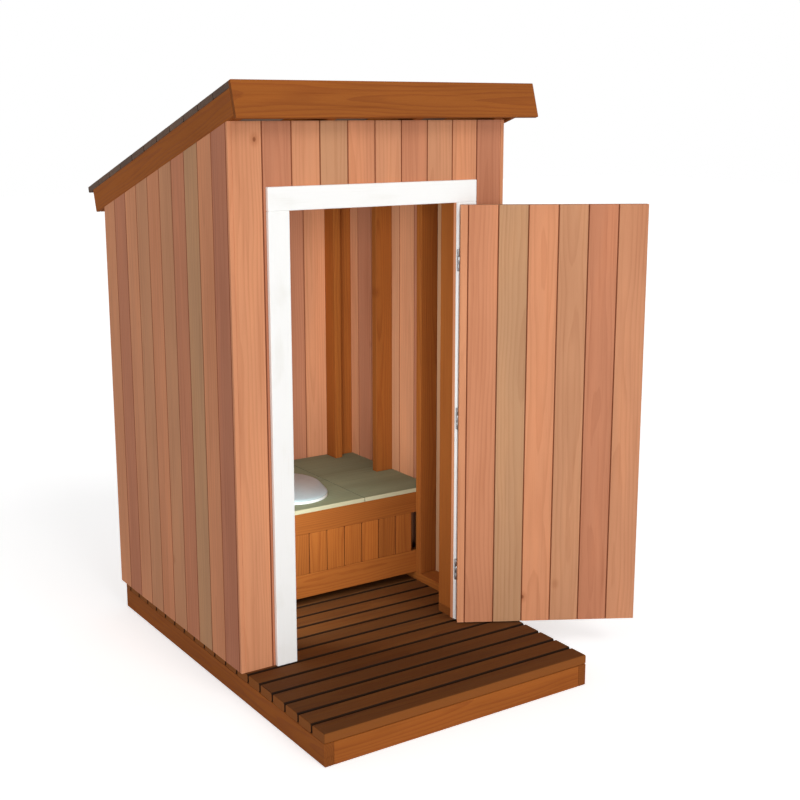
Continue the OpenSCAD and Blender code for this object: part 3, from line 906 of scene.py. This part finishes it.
class OUTHOUSE_OT_hinges(bpy.types.Operator):
    """Door hinge leaves with their knuckles and screws"""

    bl_idname = "outhouse.hinges"
    bl_label = "Hinges"

    def execute(self, context):
        axis = Matrix.Translation(DOOR_AXIS)
        swung = axis @ Matrix.Rotation(context.scene.outhouse_sizes.door_angle, 4, "Z")
        for node, body, side, place in (("door_hinge_leaves", "door", -1, swung),
                                        ("jamb_hinge_leaves", "house", 1, axis)):
            obj = solid_copy(node, node + "_steel")
            feet = [min(obj.data.vertices[i].co.z for i in part) for part in loose_parts(obj.data)]
            self.screws(node.replace("leaves", "screws"), body, feet, side, place)
            round_edges(obj, LEAF_EDGE, angle=40)
            smooth(obj)
            dress(obj, material_of(zinc_finish), "hinge_steel", body, node)
        return {"FINISHED"}

    def screws(self, name, body, feet, side, place):
        """Screw heads in the leaves on one side of the hinge axis, each turned its own way."""
        master = screw_head(SCREW_RADIUS, SCREW_HEIGHT)
        numbers = random.Random(71)
        copies = []
        for foot in feet:
            for out, up in SCREW_PLACES:
                twist = Matrix.Rotation(numbers.uniform(0, math.pi), 4, "Y")
                seat = Matrix.Translation((side * out, LEAF_FACE, foot + up))
                copies.append(placed_copy(master, name, place @ seat @ twist))
        bpy.data.objects.remove(master)
        dress(joined(copies, name), material_of(zinc_finish), "hinge_steel", body)


class OUTHOUSE_OT_stage(bpy.types.Operator):
    """Floor, light and camera"""

    bl_idname = "outhouse.stage"
    bl_label = "Stage"

    def execute(self, context):
        scene = context.scene
        scene.view_settings.view_transform = "Standard"
        self.floor()
        self.world(scene)
        self.sun("key", energy=0.8, angle=0.5, tilt=50, turn=5)
        self.sun("fill", energy=1.56, angle=0.35, tilt=86, turn=-27)
        self.room_lamp()
        camera = bpy.data.cameras.new("photo_camera")
        camera.lens = CAMERA_LENS
        camera.shift_x, camera.shift_y = CAMERA_SHIFT
        camera.clip_end = 100
        obj = bpy.data.objects.new("photo_camera", camera)
        obj.location = CAMERA_PLACE
        obj.rotation_euler = (math.radians(90 + CAMERA_PITCH), 0, math.radians(-CAMERA_YAW))
        scene.collection.objects.link(obj)
        scene.camera = obj
        return {"FINISHED"}

    def floor(self):
        bpy.ops.object.select_all(action="DESELECT")
        below = -0.0005
        bpy.ops.mesh.primitive_plane_add(size=60, location=(0, 0, below))
        plane = bpy.context.object
        plane.name = "stage_floor"
        bpy.ops.object.transform_apply(location=True)
        finish = Finish("stage_floor", Roughness=0.9, Base_Color=grey(0.9), Emission_Strength=0.56)
        camera_ray = finish.node("ShaderNodeLightPath")[0]
        finish.coat(Emission_Color=camera_ray)
        plane.data.materials.append(finish.material)

    def world(self, scene):
        world = bpy.data.worlds.new("studio")
        scene.world = world
        world.use_nodes = True
        nodes = Nodes(world.node_tree)
        background = next(n for n in nodes.tree.nodes if n.type == "BACKGROUND")
        nodes.feed(background.inputs["Color"], grey(1.0))
        camera_ray, _, _, glossy_ray, _, _, transmission_ray, *_ = nodes.node("ShaderNodeLightPath")
        seen = camera_ray.maths("MAXIMUM", glossy_ray).maths("MAXIMUM", transmission_ray)
        nodes.feed(background.inputs["Strength"], seen * (1 - WORLD_LIGHT) + WORLD_LIGHT)

    def room_lamp(self):
        """A tall soft lamp inside the front wall, out of the camera's sight, for the room."""
        light = bpy.data.lights.new("room_lamp", "AREA")
        light.shape = "RECTANGLE"
        light.size, light.size_y = 0.3, 1.7
        light.energy = 12.5
        light.color = (0.84, 0.96, 1.0)
        obj = bpy.data.objects.new("room_lamp", light)
        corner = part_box("left_wall_plates")[0]
        aside, behind, height = 0.22, 0.13, 1.15
        obj.location = (corner.x + aside, corner.y + behind, height)
        obj.rotation_euler = (math.radians(90), 0, math.radians(-38))
        obj.visible_camera = False
        bpy.context.scene.collection.objects.link(obj)

    def sun(self, name, energy, angle, tilt, turn):
        """A sun tilted from straight down and turned round the upright axis, in degrees."""
        light = bpy.data.lights.new(name, "SUN")
        light.energy = energy
        light.angle = angle
        obj = bpy.data.objects.new(name, light)
        obj.rotation_euler = (math.radians(tilt), 0, math.radians(turn))
        bpy.context.scene.collection.objects.link(obj)


PIECES = (OUTHOUSE_OT_floor, OUTHOUSE_OT_walls, OUTHOUSE_OT_siding, OUTHOUSE_OT_trim,
          OUTHOUSE_OT_roof, OUTHOUSE_OT_bench, OUTHOUSE_OT_seat, OUTHOUSE_OT_door,
          OUTHOUSE_OT_hinges, OUTHOUSE_OT_stage)


class OUTHOUSE_PT_panel(bpy.types.Panel):
    """Buttons and settings of the outhouse"""

    bl_idname = "OUTHOUSE_PT_panel"
    bl_label = "Outhouse"
    bl_space_type = "VIEW_3D"
    bl_region_type = "UI"
    bl_category = "Outhouse"

    def draw(self, context):
        for group in (context.scene.outhouse_sizes, context.scene.outhouse_colours):
            for name in group.bl_rna.properties.keys():
                if name not in ("rna_type", "name"):
                    self.layout.prop(group, name)
        for piece in PIECES:
            self.layout.operator(piece.bl_idname)


CLASSES = (OuthouseSizes, OuthouseColours, *PIECES, OUTHOUSE_PT_panel)


def register():
    for cls in CLASSES:
        bpy.utils.register_class(cls)
    bpy.types.Scene.outhouse_sizes = PointerProperty(type=OuthouseSizes)
    bpy.types.Scene.outhouse_colours = PointerProperty(type=OuthouseColours)


def unregister():
    del bpy.types.Scene.outhouse_sizes
    del bpy.types.Scene.outhouse_colours
    for cls in reversed(CLASSES):
        bpy.utils.unregister_class(cls)


def main():
    register()
    for piece in PIECES:
        group, name = piece.bl_idname.split(".")
        getattr(getattr(bpy.ops, group), name)()


if __name__ == "__main__":
    main()
